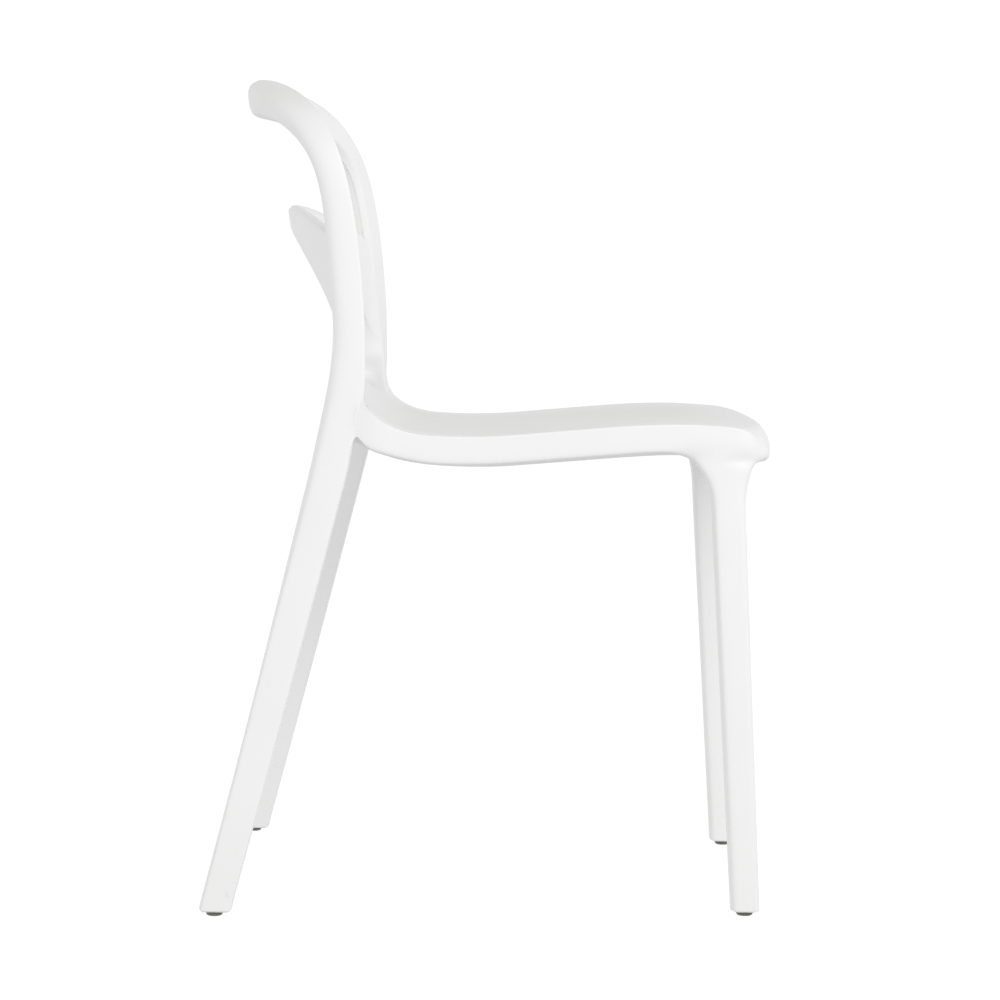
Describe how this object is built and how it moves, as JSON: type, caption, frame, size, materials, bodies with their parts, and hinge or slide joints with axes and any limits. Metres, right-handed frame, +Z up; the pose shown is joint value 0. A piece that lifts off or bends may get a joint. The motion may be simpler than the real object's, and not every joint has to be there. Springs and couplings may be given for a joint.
{
  "type": "stacking chair",
  "caption": "One-piece moulded plastic stacking chair with an open bowed back, a dished seat and raked rear legs on round floor glides.",
  "frame": {"origin": "on the floor, at the middle of the chair's footprint box", "axes": "+Z up, the chair faces -Y, +X is to the sitter's left"},
  "size_m": [0.5034, 0.5375, 0.785],
  "materials": {
    "shell": "satin white polypropylene with a fine moulded grain",
    "insert": "plain white nylon",
    "glide": "matt grey elastomer"
  },
  "bodies": {
    "root": {"seat_panel": "shell", "front_beam": "shell", "rear_beam": "shell", "top_rail": "shell", "lumbar_rail": "shell", "side_beam_left": "shell", "side_beam_right": "shell", "front_leg_left": "shell", "front_leg_right": "shell", "rear_leg_left": "shell", "rear_leg_right": "shell", "back_post_left": "shell", "back_post_right": "shell", "foot_insert_front_left": "insert", "foot_insert_front_right": "insert", "foot_insert_rear_left": "insert", "foot_insert_rear_right": "insert", "glide_front_left": "glide", "glide_front_right": "glide", "glide_rear_left": "glide", "glide_rear_right": "glide"}
  },
  "joints": []
}
